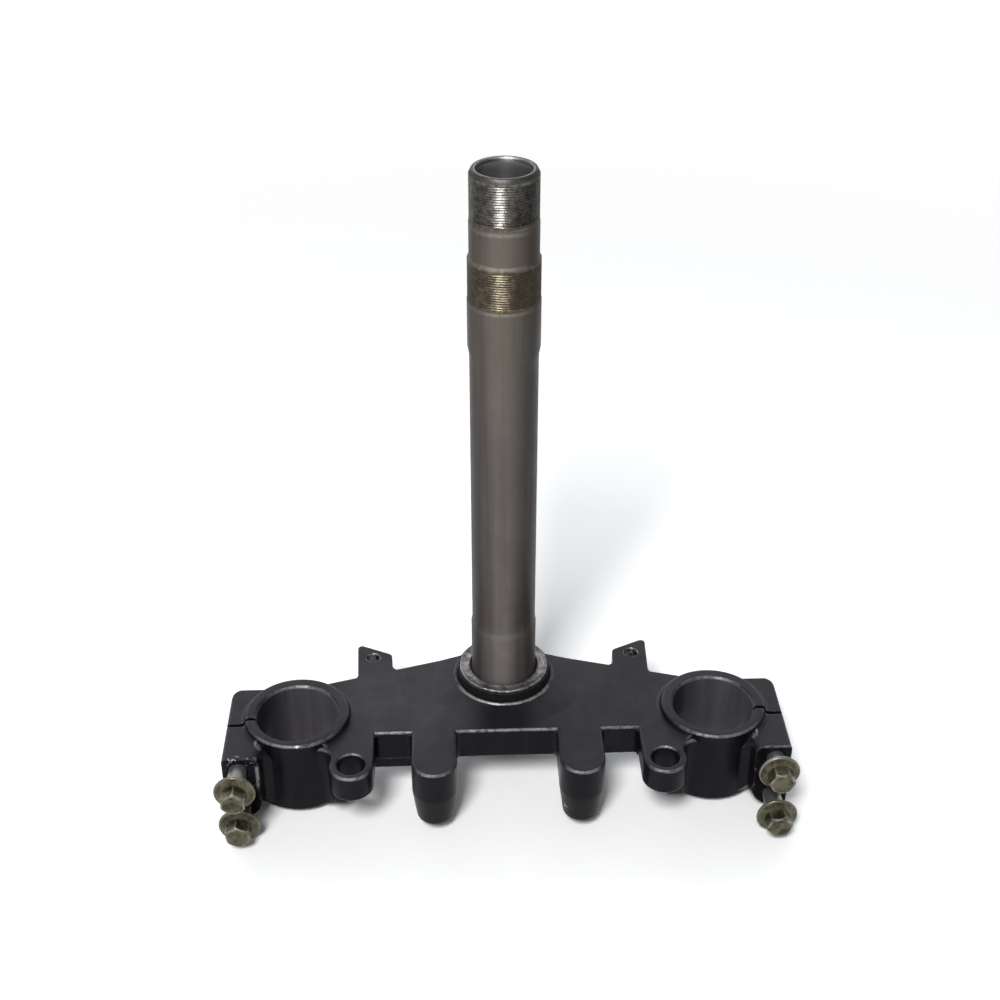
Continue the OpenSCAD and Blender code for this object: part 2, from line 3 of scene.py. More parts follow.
import bpy
import numpy as np
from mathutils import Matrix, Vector


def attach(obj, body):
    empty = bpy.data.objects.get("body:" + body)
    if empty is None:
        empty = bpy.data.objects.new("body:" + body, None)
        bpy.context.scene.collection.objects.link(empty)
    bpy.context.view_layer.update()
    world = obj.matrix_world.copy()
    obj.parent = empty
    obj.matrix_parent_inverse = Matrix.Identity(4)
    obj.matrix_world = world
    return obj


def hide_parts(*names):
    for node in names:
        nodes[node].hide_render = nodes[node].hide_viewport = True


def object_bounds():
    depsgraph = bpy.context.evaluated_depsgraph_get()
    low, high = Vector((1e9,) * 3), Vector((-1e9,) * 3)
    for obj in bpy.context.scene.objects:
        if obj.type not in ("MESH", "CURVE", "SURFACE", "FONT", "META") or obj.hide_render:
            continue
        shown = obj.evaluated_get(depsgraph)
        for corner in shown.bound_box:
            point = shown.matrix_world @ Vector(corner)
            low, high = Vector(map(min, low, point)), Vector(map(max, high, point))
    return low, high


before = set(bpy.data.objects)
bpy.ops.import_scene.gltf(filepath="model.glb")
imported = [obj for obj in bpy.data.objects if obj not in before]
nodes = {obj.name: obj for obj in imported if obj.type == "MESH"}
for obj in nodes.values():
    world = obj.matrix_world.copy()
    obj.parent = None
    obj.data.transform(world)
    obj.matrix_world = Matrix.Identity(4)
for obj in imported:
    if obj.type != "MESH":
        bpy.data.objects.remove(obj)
size_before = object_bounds()

# Sizes and places on the part are in mm, as in its source.
MM = 0.001

# Heights of the stem. Height 0 is its bearing seat's upper end.
STEM_TOP = 233.1
STEM_BOTTOM = -32.6
BRIDGE_TOP = -6.6
FOOT_TOP = 25.0
NECK_TOP = STEM_TOP - 20.4
NECK_BOTTOM = NECK_TOP - 14.0
LOW_THREAD_BOTTOM = NECK_BOTTOM - 17.8
JOURNAL_BOTTOM = LOW_THREAD_BOTTOM - 20.0
TAPER_BOTTOM = JOURNAL_BOTTOM - 4.0

# Radii of the stem.
BORE_R = 10.0
PRESS_R = 15.5
SEAT_R = 14.55
FOOT_R = 14.2
SHAFT_R = 13.8
JOURNAL_R = 14.5
LOW_THREAD_R = 14.3
NECK_R = 13.6
TOP_THREAD_R = 13.4

CHAMFER = 1.0
END_ROUND = 0.15
STEM_SIDES = 144
SHAFT_LENGTHS = 20

THREAD_PITCH = 1.0
THREAD_FADE = 1.2
THREAD_FLAT = 0.12
LOW_THREAD_DEPTH = 0.32
TOP_THREAD_DEPTH = 0.36
ROWS_PER_TURN = 8

# Places on the casting that its paint refers to.
FORK_X, FORK_Y, FORK_R = 91.0, -27.0, 17.5
TAB_HOLE_X, TAB_HOLE_Y, TAB_HOLE_R = 59.4, 14.0, 3.0
LIP_R, LIP_TOP = 22.6, -5.0
STOP_OUTSIDE = 41.2
STOP_ROOT_Y = -41.0
EAR_INSIDE, EAR_FRONT = 106.6, -52.5
# Where what faces up is palest and where it is dimmest, from dust and from painted light.
PALEST_TOP_PLACE = (-46.0, -19.0)
DIMMEST_TOP_PLACE = (0.0, -33.0)

# Where wear begins and ends: along y on the lip, where it is also a painted highlight, and in
# height on the stops and on the corner of the left ear, where it is also a painted highlight.
LIP_BRIGHT, LIP_DULL = -17.0, -6.0
STOP_BARE, STOP_PAINTED = -26.5, -20.5
CORNER_LOW, CORNER_HIGH = (-24.0, -20.0), (-12.0, -8.5)

# Where paint has chipped off: x, y, z, radius, and how far it fades out.
CHIPS = (
    (-116.5, -53.2, -7.0, 1.5, 3.5),
    (-109.0, -52.8, -8.0, 1.0, 3.0),
    (-89.5, -49.0, -3.5, 0.4, 1.4),
    (23.5, -59.0, -30.0, 1.0, 3.0),
)
# A painted highlight streak where the right ear meets its fork clamp, in the same terms.
HIGHLIGHT_STREAK = (
    (107.7, -42.8, -6.0, 0.2, 1.0),
    (107.0, -44.0, -6.6, 0.4, 1.0),
    (106.4, -45.2, -7.3, 0.2, 1.0),
)

# The clean part of each bolt's shank: its middle along y, and half its length.
SHANK_MIDDLE, SHANK_HALF = -47.0, 14.4

# The heights between which the stem turns olive.
OLIVE_FROM, OLIVE_TO = 100.0, 170.0

# The paint's gloss and the stem's, as tints.
PAINT_GLOSS = (0.93, 0.85, 1.0)
STEEL_GLOSS = (0.5, 0.5, 0.5)

# Colours of the casting.
BLACK = (0.0036, 0.0030, 0.0048)
BLACK_PALE = (0.0062, 0.0056, 0.0076)
DUST_AND_TOP_LIGHT = (0.0445, 0.0460, 0.0490)
WALL_SHEEN = (0.018, 0.016, 0.019)
PALE_SPECK = (0.25, 0.25, 0.24)
RUBBED = (0.0135, 0.0118, 0.0118)
WEAR_AND_HIGHLIGHT = (0.31, 0.31, 0.32)
BARE_AND_HIGHLIGHT = (0.40, 0.39, 0.39)
COAT = (0.110, 0.104, 0.115)
COAT_PALE = (0.148, 0.140, 0.150)
COAT_PAINTED_SHADE = (0.022, 0.020, 0.024)

# Colours of the stem.
STEEL = (0.142, 0.124, 0.124)
STEEL_PALE = (0.190, 0.167, 0.166)
STEEL_STREAK = (0.085, 0.072, 0.070)
STEEL_BROWN = (0.11, 0.085, 0.06)
STEEL_OLIVE = (0.172, 0.152, 0.112)
STEEL_SPECK = (0.06, 0.047, 0.040)
FOOT_RING_HIGHLIGHT = (0.26, 0.24, 0.24)
OLIVE_DARK = (0.095, 0.074, 0.052)
OLIVE = (0.205, 0.178, 0.110)
OLIVE_ROOT = (0.055, 0.042, 0.030)
OLIVE_STAIN = (0.070, 0.050, 0.038)
GRIME_DARK = (0.095, 0.091, 0.080)
GRIME = (0.250, 0.245, 0.230)
GRIME_ROOT = (0.065, 0.060, 0.053)
RUST = (0.085, 0.062, 0.044)
LEDGE_HIGHLIGHT = (0.42, 0.39, 0.34)
END_DULL = (0.105, 0.102, 0.097)
END_HIGHLIGHT = (0.50, 0.50, 0.49)
BORE_GREY = (0.21, 0.21, 0.21)
SIDE_SHADE = (0.034, 0.029, 0.026)

# Colours of the race, the seal and the bolts.
RACE_DARK = (0.095, 0.088, 0.087)
RACE_PALE = (0.290, 0.277, 0.273)
RACE_SPECK = (0.60, 0.58, 0.57)
RACE_CORNER_DARK = (0.040, 0.036, 0.034)
RUBBER = (0.006, 0.005, 0.006)
RUBBER_PALE = (0.014, 0.012, 0.014)
ZINC_DARK = (0.034, 0.031, 0.016)
ZINC = (0.136, 0.126, 0.080)
ZINC_WORN = (0.56, 0.54, 0.45)
SHANK = (0.34, 0.34, 0.325)

# The lamp, its target and its size in metres, and its strength in watts.
KEY_PLACE = (-0.50, -1.50, 1.95)
KEY_TARGET = (0, 0, 0.05)
KEY_WIDTH, KEY_HEIGHT = 0.60, 0.72
KEY_WATTS = 46.0

# Strength of the sky in front, behind, left and right, and its colour.
SKY_FRONT = 0.34
SKY_BACK = 2.3
SKY_LEFT = 1.12
SKY_RIGHT = 0.78
SKY_COLOUR = (0.97, 0.99, 1.02)

# The floor has one shade for the light and one for the camera, and fades to
# plain white between two distances. The backdrop is a low round wall far off.
# Lengths are in metres.
FLOOR_HALF = 12.0
FLOOR_LIT = (0.30, 0.30, 0.30)
FLOOR_SEEN = (1.22, 1.22, 1.22)
FADE_FROM, FADE_TO = 0.38, 0.85
BACKDROP_RADIUS, BACKDROP_HEIGHT = 11.5, 2.6
BACKDROP_SIDES = 96

# The camera that was fitted to the photograph: metres, degrees, and mm for
# the lens and the sensor.
CAMERA_PLACE = (-0.020736, -0.527854, 0.430255)
CAMERA_YAW = 2.07605
CAMERA_PITCH = 32.9655
CAMERA_LENS = 54.032
CAMERA_SENSOR = 36.0

# How many rays the bevel and edge nodes send out.
EDGE_SAMPLES = 6


# Geometry


def mesh_object(name, verts, faces, material, smooth_angle=30):
    mesh = bpy.data.meshes.new(name)
    mesh.from_pydata(verts, [], faces)
    mesh.validate()
    mesh.materials.append(material)
    mesh.polygons.foreach_set("use_smooth", [True] * len(mesh.polygons))
    mesh.set_sharp_from_angle(angle=math.radians(smooth_angle))
    mesh.update()
    obj = bpy.data.objects.new(name, mesh)
    bpy.context.scene.collection.objects.link(obj)
    return obj


def plain_rows(*rows):
    """Rows of a plain length: (height, radius, no thread depth)."""
    return [(z, r, 0.0) for z, r in rows]


def thread_rows(z0, z1, r, depth):
    """Rows of a threaded length, whose thread fades out at both ends."""
    count = round((z1 - z0) / THREAD_PITCH * ROWS_PER_TURN)
    rows = []
    for i in range(count + 1):
        z = z0 + (z1 - z0) * i / count
        edge = min(z - z0, z1 - z) / THREAD_FADE
        rows.append((z, r, depth * min(1.0, max(0.0, edge))))
    return rows


def foot_rows():
    """The stem from its lower end to the top of its foot."""
    return plain_rows(
        (STEM_BOTTOM, BORE_R),
        (STEM_BOTTOM, PRESS_R - CHAMFER),
        (STEM_BOTTOM + CHAMFER, PRESS_R),
        (BRIDGE_TOP, PRESS_R),
        (BRIDGE_TOP, SEAT_R),
        (-CHAMFER, SEAT_R),
        (0.0, FOOT_R),
        (FOOT_TOP, FOOT_R),
        (FOOT_TOP + CHAMFER, SHAFT_R),
    )


def shaft_rows():
    """The shaft in short lengths, so that its faces stay near square, then the journal."""
    low = FOOT_TOP + CHAMFER
    step = (TAPER_BOTTOM - low) / SHAFT_LENGTHS
    return plain_rows(
        *((low + step * i, SHAFT_R) for i in range(1, SHAFT_LENGTHS)),
        (TAPER_BOTTOM, SHAFT_R),
        (JOURNAL_BOTTOM, JOURNAL_R),
        (LOW_THREAD_BOTTOM, JOURNAL_R),
    )


def end_rows():
    """The chamfered upper end, outside and in the bore."""
    return plain_rows(
        (STEM_TOP - END_ROUND, TOP_THREAD_R - 0.95 * CHAMFER),
        (STEM_TOP, TOP_THREAD_R - CHAMFER - END_ROUND),
        (STEM_TOP, BORE_R + CHAMFER + END_ROUND),
        (STEM_TOP - END_ROUND, BORE_R + CHAMFER),
        (STEM_TOP - 2 * CHAMFER, BORE_R),
    )


def stem_rows():
    """The stem's outline from the bottom up."""
    rows = foot_rows() + shaft_rows()
    rows += thread_rows(LOW_THREAD_BOTTOM, NECK_BOTTOM - CHAMFER, LOW_THREAD_R, LOW_THREAD_DEPTH)
    rows += plain_rows((NECK_BOTTOM, NECK_R), (NECK_TOP, NECK_R))
    rows += thread_rows(NECK_TOP + CHAMFER, STEM_TOP - 2 * CHAMFER, TOP_THREAD_R, TOP_THREAD_DEPTH)
    return rows + end_rows()


def thread_profile(phase):
    """0 on the crest and 1 at the root, both of them a little flat."""
    tri = 1 - abs(2 * phase - 1)
    return float(np.clip((tri - THREAD_FLAT) / (1 - 2 * THREAD_FLAT), 0, 1))


def build_stem(material):
    """The stem as a closed turned mesh, with threads that wind round it."""
    rows = stem_rows()
    verts, faces = [], []
    for z, r, depth in rows:
        for j in range(STEM_SIDES):
            turn = j / STEM_SIDES
            here = r - depth * thread_profile((z / THREAD_PITCH - turn) % 1.0)
            a = 2 * math.pi * turn
            verts.append((here * math.cos(a) * MM, here * math.sin(a) * MM, z * MM))
    for i in range(len(rows)):
        low, high = i * STEM_SIDES, (i + 1) % len(rows) * STEM_SIDES
        for j in range(STEM_SIDES):
            m = (j + 1) % STEM_SIDES
            faces.append((low + j, low + m, high + m, high + j))
    return mesh_object("stem_with_threads", verts, faces, material, smooth_angle=40)


# Short ways to add to a node tree


def plug(tree, value, socket):
    """Link a socket, or set a number, a vector or a colour."""
    if isinstance(value, bpy.types.NodeSocket):
        tree.links.new(value, socket)
    elif socket.type == "RGBA":
        socket.default_value = (*value, 1)
    else:
        socket.default_value = value


def calc(tree, op, a, b=0.0, clamp=False):
    n = tree.nodes.new("ShaderNodeMath")
    n.operation = op
    n.use_clamp = clamp
    plug(tree, a, n.inputs[0])
    plug(tree, b, n.inputs[1])
    return n.outputs[0]


def ramp(tree, value, lo, hi, to_lo=0.0, to_hi=1.0):
    """value from lo to hi, turned smoothly into to_lo to to_hi."""
    n = tree.nodes.new("ShaderNodeMapRange")
    n.interpolation_type = "SMOOTHSTEP"
    plug(tree, value, n.inputs["Value"])
    n.inputs["From Min"].default_value = lo
    n.inputs["From Max"].default_value = hi
    n.inputs["To Min"].default_value = to_lo
    n.inputs["To Max"].default_value = to_hi
    return n.outputs["Result"]


def split(tree, vector):
    """The x, y and z of a vector."""
    n = tree.nodes.new("ShaderNodeSeparateXYZ")
    tree.links.new(vector, n.inputs[0])
    return n.outputs


def mix_colours(tree, factor, a, b):
    """Colour a at factor 0, b at 1. A mix node's colours are sockets 6 and 7."""
    n = tree.nodes.new("ShaderNodeMix")
    n.data_type = "RGBA"
    plug(tree, factor, n.inputs[0])
    plug(tree, a, n.inputs[6])
    plug(tree, b, n.inputs[7])
    return n.outputs[2]


def mix_shaders(tree, factor, a, b):
    n = tree.nodes.new("ShaderNodeMixShader")
    tree.links.new(factor, n.inputs[0])
    tree.links.new(a.outputs[0], n.inputs[1])
    tree.links.new(b.outputs[0], n.inputs[2])
    return n.outputs[0]


def empty_material(name):
    """A new material, its node tree and the socket that its surface goes to."""
    material = bpy.data.materials.new(name)
    material.use_nodes = True
    tree = material.node_tree
    tree.nodes.clear()
    output = tree.nodes.new("ShaderNodeOutputMaterial")
    return material, tree, output.inputs["Surface"]


class Graph:
    """A material's node tree. Places are in mm, noise counts per metre."""

    def __init__(self, name):
        self.material, self.tree, self.out = empty_material(name)
        coords = self.tree.nodes.new("ShaderNodeTexCoord")
        self.metres = coords.outputs["Object"]
        scale = self.tree.nodes.new("ShaderNodeVectorMath")
        scale.operation = "SCALE"
        scale.inputs["Scale"].default_value = 1 / MM
        self.tree.links.new(self.metres, scale.inputs[0])
        self.place = scale.outputs["Vector"]
        self.x, self.y, self.z = split(self.tree, self.place)
        geometry = self.tree.nodes.new("ShaderNodeNewGeometry")
        self.nx, self.ny, self.nz = split(self.tree, geometry.outputs["Normal"])

    def math(self, op, a, b=0.0, clamp=False):
        return calc(self.tree, op, a, b, clamp)

    def chain(self, op, values, clamp=False):
        out = values[0]
        for v in values[1:]:
            out = self.math(op, out, v, clamp)
        return out

    def mul(self, *values):
        return self.chain("MULTIPLY", values)

    def add(self, *values):
        return self.chain("ADD", values)

    def union(self, *masks):
        """The sum of masks, 1 at most."""
        return self.chain("ADD", masks, clamp=True)

    def most(self, *values):
        return self.chain("MAXIMUM", values)

    def sub(self, a, b):
        return self.math("SUBTRACT", a, b)

    def inv(self, value):
        return self.math("SUBTRACT", 1.0, value, clamp=True)

    def absolute(self, value):
        return self.math("ABSOLUTE", value)

    def band(self, value, lo, hi, to_lo=0.0, to_hi=1.0):
        return ramp(self.tree, value, lo, hi, to_lo, to_hi)

    def fall(self, value, lo, hi):
        """1 below lo, 0 above hi."""
        return self.band(value, lo, hi, 1.0, 0.0)

    def between(self, value, rise, fall):
        """1 from the end of rise to the start of fall, each a pair of limits."""
        return self.mul(self.band(value, *rise), self.fall(value, *fall))

    def noise(self, scale, detail=3.0, rough=0.5, stretch=(1, 1, 1), seed=0.0):
        moved = self.tree.nodes.new("ShaderNodeMapping")
        self.tree.links.new(self.metres, moved.inputs["Vector"])
        moved.inputs["Scale"].default_value = stretch
        moved.inputs["Location"].default_value = (seed, seed * 0.7, seed * 1.3)
        n = self.tree.nodes.new("ShaderNodeTexNoise")
        self.tree.links.new(moved.outputs[0], n.inputs["Vector"])
        n.inputs["Scale"].default_value = scale
        n.inputs["Detail"].default_value = detail
        n.inputs["Roughness"].default_value = rough
        return n.outputs["Fac"]

    def mix(self, factor, a, b):
        return mix_colours(self.tree, factor, a, b)

    def ball(self, x, y, z, radius, soft):
        """1 inside a ball, fading to 0 outside it."""
        n = self.tree.nodes.new("ShaderNodeVectorMath")
        n.operation = "DISTANCE"
        self.tree.links.new(self.place, n.inputs[0])
        n.inputs[1].default_value = (x, y, z)
        return self.fall(n.outputs["Value"], radius, radius + soft)

    def radius_from(self, cx, cy):
        """The distance from an upright axis."""
        dx = self.sub(self.x, cx)
        dy = self.sub(self.y, cy)
        return self.math("SQRT", self.add(self.mul(dx, dx), self.mul(dy, dy)))

    def two_holes(self, cx, cy, lo, hi):
        """1 inside an upright hole and inside its mirror image."""
        right = self.fall(self.radius_from(cx, cy), lo, hi)
        left = self.fall(self.radius_from(-cx, cy), lo, hi)
        return self.union(right, left)

    def bump(self, height, distance, strength, normal=None):
        n = self.tree.nodes.new("ShaderNodeBump")
        n.inputs["Distance"].default_value = distance * MM
        n.inputs["Strength"].default_value = strength
        self.tree.links.new(height, n.inputs["Height"])
        if normal is not None:
            self.tree.links.new(normal, n.inputs["Normal"])
        return n.outputs["Normal"]

    def bevel(self, radius):
        n = self.tree.nodes.new("ShaderNodeBevel")
        n.samples = EDGE_SAMPLES
        n.inputs["Radius"].default_value = radius * MM
        return n.outputs["Normal"]

    def edges(self, distance):
        """0 on flat faces, more near outer edges."""
        n = self.tree.nodes.new("ShaderNodeAmbientOcclusion")
        n.inside = True
        n.only_local = True
        n.samples = EDGE_SAMPLES
        n.inputs["Distance"].default_value = distance * MM
        return self.inv(n.outputs["AO"])

    def surface(self, **inputs):
        n = self.tree.nodes.new("ShaderNodeBsdfPrincipled")
        for key, value in inputs.items():
            plug(self.tree, value, n.inputs[key.replace("_", " ")])
        self.tree.links.new(n.outputs[0], self.out)
        return self.material


# The casting's paint


def paint_dust_and_top_light(g, up, blotch):
    """Dust and painted light on what faces up, most left of the stem and least in front of it."""
    left = g.band(g.radius_from(*PALEST_TOP_PLACE), 12, 36, 1.80, 1.0)
    dimmer_in_front = g.band(g.radius_from(*DIMMEST_TOP_PLACE), 6, 20, 0.55, 1.0)
    return g.mul(up, g.band(blotch, 0.3, 0.75, 0.5, 1.0), left, dimmer_in_front, 0.66)


def paint_rubbed(g, wave, vertical_streaks):
    """The lower halves of the steering stops, rubbed thin."""
    in_front = g.mul(g.fall(g.y, STOP_ROOT_Y, STOP_ROOT_Y + 1.5),
                     g.fall(g.absolute(g.x), STOP_OUTSIDE + 0.3, STOP_OUTSIDE + 1.3))
    uneven_z = g.add(g.z, g.mul(g.sub(wave, 0.5), 8))
    low = g.fall(uneven_z, STOP_BARE, STOP_PAINTED)
    return g.mul(in_front, low, g.band(vertical_streaks, 0.3, 0.62, 0.45, 1.0))


def paint_wear_and_highlight(g, breakup_noise):
    """Rubbed corners, and a painted highlight on rounded upper edges, brightest where they face
    the front.
    """
    edge = g.edges(2.0)
    rounded = g.mul(g.between(g.nz, (0.10, 0.35), (0.92, 0.985)), g.band(edge, 0.03, 0.10))
    level = g.math("SQRT", g.most(g.sub(1.0, g.mul(g.nz, g.nz)), 0.01))
    facing = g.math("DIVIDE", g.ny, level)
    front = g.mul(rounded, g.band(facing, -0.98, -0.45, 1.0, 0.10),
                  g.band(breakup_noise, 0.34, 0.58, 0.3, 1.0))
    corners = g.mul(g.band(edge, 0.40, 0.62), g.band(breakup_noise, 0.52, 0.60), 0.4)
    return g.most(corners, front)


def paint_lip_wear_and_highlight(g):
    """Bare patches on the lip round the stem, most of them in front, where they also serve as a
    painted highlight.
    """
    patches = g.band(g.noise(260, 4, 0.7, seed=9.4), 0.36, 0.56)
    return g.mul(g.fall(g.radius_from(0, 0), LIP_R + 0.1, LIP_R + 0.5),
                 g.band(g.z, LIP_TOP - 0.9, LIP_TOP - 0.3),
                 patches, g.band(g.y, LIP_BRIGHT, LIP_DULL, 1.0, 0.08))


def ear_corner_rub_and_highlight(g, breakup_noise):
    """A long rub down the inner front corner of the left ear, which is also a painted highlight
    line.
    """
    return g.mul(g.fall(g.absolute(g.add(g.x, EAR_INSIDE)), 0.5, 1.2),
                 g.fall(g.y, EAR_FRONT + 0.5, EAR_FRONT + 1.3),
                 g.between(g.z, CORNER_LOW, CORNER_HIGH),
                 g.band(breakup_noise, 0.36, 0.52), 0.7)


def ear_rim_highlight(g, breakup_noise):
    """A painted highlight along the front edge of the right ear."""
    return g.mul(g.band(g.x, EAR_INSIDE + 0.9, EAR_INSIDE + 2.4),
                 g.fall(g.y, EAR_FRONT + 0.7, EAR_FRONT + 1.1),
                 g.band(g.z, BRIDGE_TOP - 0.8, BRIDGE_TOP - 0.3),
                 g.band(breakup_noise, 0.34, 0.54), 0.35)


def ear_highlight_streaks(g, breakup_noise):
    """A short painted highlight streak where each ear meets its fork clamp."""
    spots = g.union(*(g.ball(hand * x, *rest) for hand in (-1, 1) for x, *rest in HIGHLIGHT_STREAK))
    return g.mul(spots, g.band(breakup_noise, 0.34, 0.50, 0.4, 1.0), 0.8)


def paint_chips_and_highlights(g, breakup_noise):
    """Small chips, and the rubs and painted highlights on the ears."""
    chips = g.mul(g.union(*(g.ball(*chip) for chip in CHIPS)),
                  g.band(g.noise(620, 3, 0.6, seed=8.2), 0.56, 0.60))
    return g.most(chips, ear_corner_rub_and_highlight(g, breakup_noise), ear_rim_highlight(g, breakup_noise), ear_highlight_streaks(g, breakup_noise))


def tab_hole_metal(g, breakup_noise):
    """Bare patches in the tabs' holes."""
    holes = g.two_holes(TAB_HOLE_X, TAB_HOLE_Y, TAB_HOLE_R + 0.1, TAB_HOLE_R + 0.6)
    return g.mul(holes, g.band(breakup_noise, 0.44, 0.54))


def bore_coat(g, vertical_streaks):
    """The thin coat in the fork bores, with painted shade on their left walls."""
    coat = g.mix(g.band(vertical_streaks, 0.35, 0.65), COAT, COAT_PALE)
    return g.mix(g.band(g.nx, 0.15, 0.8, 0.0, 0.8), coat, COAT_PAINTED_SHADE)


def black_paint():
    """Satin black paint on a casting, with its wear and its unpainted places, and with painted
    highlights, painted sheen and painted light on what faces up.
    """
    g = Graph("satin_black_paint")
    grain = g.noise(1500, 3)
    wave = g.noise(170, 3)
    blotch = g.noise(38, 5, 0.6)
    breakup_noise = g.noise(420, 4, 0.7, seed=3.1)
    specks = g.noise(800, 2, seed=5.7)
    vertical_streaks = g.noise(150, 4, 0.6, stretch=(1, 1, 0.08), seed=1.3)
    up = g.band(g.nz, 0.5, 0.95)
    upright = g.fall(g.absolute(g.nz), 0.25, 0.5)

    # paler on what faces up, from dust and from painted light
    dust_and_top_light = paint_dust_and_top_light(g, up, blotch)
    rubbed = paint_rubbed(g, wave, vertical_streaks)
    # pale edges: rubbed corners, and a painted highlight on the rounded front edges
    pale_edges = paint_wear_and_highlight(g, breakup_noise)
    lip = paint_lip_wear_and_highlight(g)
    # bare metal, with the painted highlights on the lip and the ears mixed in
    bare_and_highlight = g.most(g.mul(lip, 0.85), paint_chips_and_highlights(g, breakup_noise), tab_hole_metal(g, breakup_noise))
    bores = g.two_holes(FORK_X, FORK_Y, FORK_R + 0.15, FORK_R + 0.25)

    base = g.mix(g.band(blotch, 0.35, 0.7), BLACK, BLACK_PALE)
    base = g.mix(dust_and_top_light, base, DUST_AND_TOP_LIGHT)
    # painted sheen in vertical streaks down the walls, and pale specks on what faces up
    base = g.mix(g.mul(upright, g.band(vertical_streaks, 0.5, 0.72), 0.35), base, WALL_SHEEN)
    base = g.mix(g.mul(up, g.band(specks, 0.80, 0.83), 0.5), base, PALE_SPECK)
    base = g.mix(rubbed, base, RUBBED)
    base = g.mix(pale_edges, base, WEAR_AND_HIGHLIGHT)
    base = g.mix(bare_and_highlight, base, BARE_AND_HIGHLIGHT)
    base = g.mix(bores, base, bore_coat(g, vertical_streaks))

    metal = g.most(bare_and_highlight, g.mul(bores, 0.35), g.mul(pale_edges, 0.45))
    rough = g.add(g.band(blotch, 0.25, 0.75, 0.24, 0.34), g.mul(g.band(grain, 0.3, 0.7), 0.05),
                  g.mul(g.add(dust_and_top_light, rubbed), 0.06), g.add(g.mul(pale_edges, 0.07), g.mul(lip, 0.14)))
    height = g.add(g.mul(grain, 0.25), wave)
    normal = g.bump(height, 0.12, 0.6, g.bevel(0.7))
    return g.surface(Base_Color=base, Roughness=rough, Metallic=metal, Normal=normal,
                     Specular_IOR_Level=0.13, Specular_Tint=PAINT_GLOSS)


# The stem's steel


def around(size, *offsets):
    """A height or a radius with each offset added to it."""
    return tuple(size + offset for offset in offsets)


def browned_steel(g, blotch, streaks, stain, speck):
    """The steel of the shaft, browner and more olive towards the top."""
    upper = g.band(g.z, OLIVE_FROM, OLIVE_TO)
    base = g.mix(g.band(blotch, 0.3, 0.72), STEEL, STEEL_PALE)
    base = g.mix(g.mul(g.band(streaks, 0.42, 0.68), 0.35), base, STEEL_STREAK)
    base = g.mix(g.mul(g.band(stain, 0.5, 0.72), g.add(g.mul(upper, 0.5), 0.2)), base, STEEL_BROWN)
    base = g.mix(g.mul(upper, 0.55), base, STEEL_OLIVE)
    base = g.mix(g.mul(g.band(speck, 0.66, 0.74), 0.5), base, STEEL_SPECK)
    # a painted highlight ring where the foot of the stem is turned down
    foot_ring_highlight = g.between(g.z, around(FOOT_TOP, -2.5, 0), around(FOOT_TOP, 0.5, 2.5))
    return g.mix(g.mul(foot_ring_highlight, 0.3), base, FOOT_RING_HIGHLIGHT)


def low_thread_grime(g, r, speck, stain):
    """Olive and brown grime."""
    root = g.fall(r, *around(LOW_THREAD_R, -0.25, -0.08))
    colour = g.mix(g.band(speck, 0.40, 0.62), OLIVE_DARK, OLIVE)
    colour = g.mix(g.mul(root, 0.34), colour, OLIVE_ROOT)
    return g.mix(g.mul(g.band(stain, 0.46, 0.62), 0.55), colour, OLIVE_STAIN)


def top_thread_grime(g, r, speck, grit):
    """Grey grime, with rust at its lower end."""
    root = g.fall(r, *around(TOP_THREAD_R, -0.27, -0.07))
    rust = g.mul(g.fall(g.z, *around(NECK_TOP, 2.3, 4.8)), g.band(grit, 0.35, 0.60, 0.3, 1.0))
    colour = g.mix(g.band(speck, 0.36, 0.62), GRIME_DARK, GRIME)
    colour = g.mix(g.mul(root, 0.34), colour, GRIME_ROOT)
    return g.mix(g.mul(rust, 0.75), colour, RUST)


def stem_ledge_highlights(g, speck):
    """Painted highlights on the ledges at both ends of the lower thread and under the upper one.
    """
    over_low = g.between(g.z, around(NECK_BOTTOM, -1.5, -0.7), around(NECK_BOTTOM, -0.1, 0.5))
    under_top = g.between(g.z, around(NECK_TOP, -2.3, -1.3), around(NECK_TOP, -0.7, 0.1))
    under_low = g.between(g.z, around(LOW_THREAD_BOTTOM, -2.1, -1.3),
                          around(LOW_THREAD_BOTTOM, -0.7, -0.1))
    ledges = g.union(over_low, g.mul(under_top, 0.75), g.mul(under_low, 0.8))
    return g.mul(ledges, g.band(speck, 0.36, 0.56, 0.35, 1.0))


def stem_end(g, base, r, grit, end, inside):
    """A dull end chamfer, a painted highlight on the inner edge, and cleaner metal in the bore."""
    base = g.mix(g.mul(end, g.band(grit, 0.35, 0.6, 0.85, 0.5)), base, END_DULL)
    # a painted highlight on the inner edge of the end
    edge = g.mul(g.band(g.z, *around(STEM_TOP, -0.7, -0.4)), g.fall(r, *around(BORE_R, 1.3, 1.7)),
                 g.band(grit, 0.3, 0.6, 0.4, 1.0))
    base = g.mix(g.mul(edge, 0.8), base, END_HIGHLIGHT)
    return g.mix(g.mul(inside, 0.8), base, BORE_GREY)


def stem_side_shade(g, inside, threads, streaks):
    """Painted shade on both sides of the stem, darker on the right."""
    sides = g.add(g.band(g.nx, -0.9, -0.20, 0.80, 0.0), g.band(g.nx, -0.15, 0.85, 0.0, 0.96))
    return g.mul(sides, g.inv(inside), g.band(streaks, 0.3, 0.7, 0.8, 1.0),
                 g.band(threads, 0.0, 1.0, 1.0, 0.7))


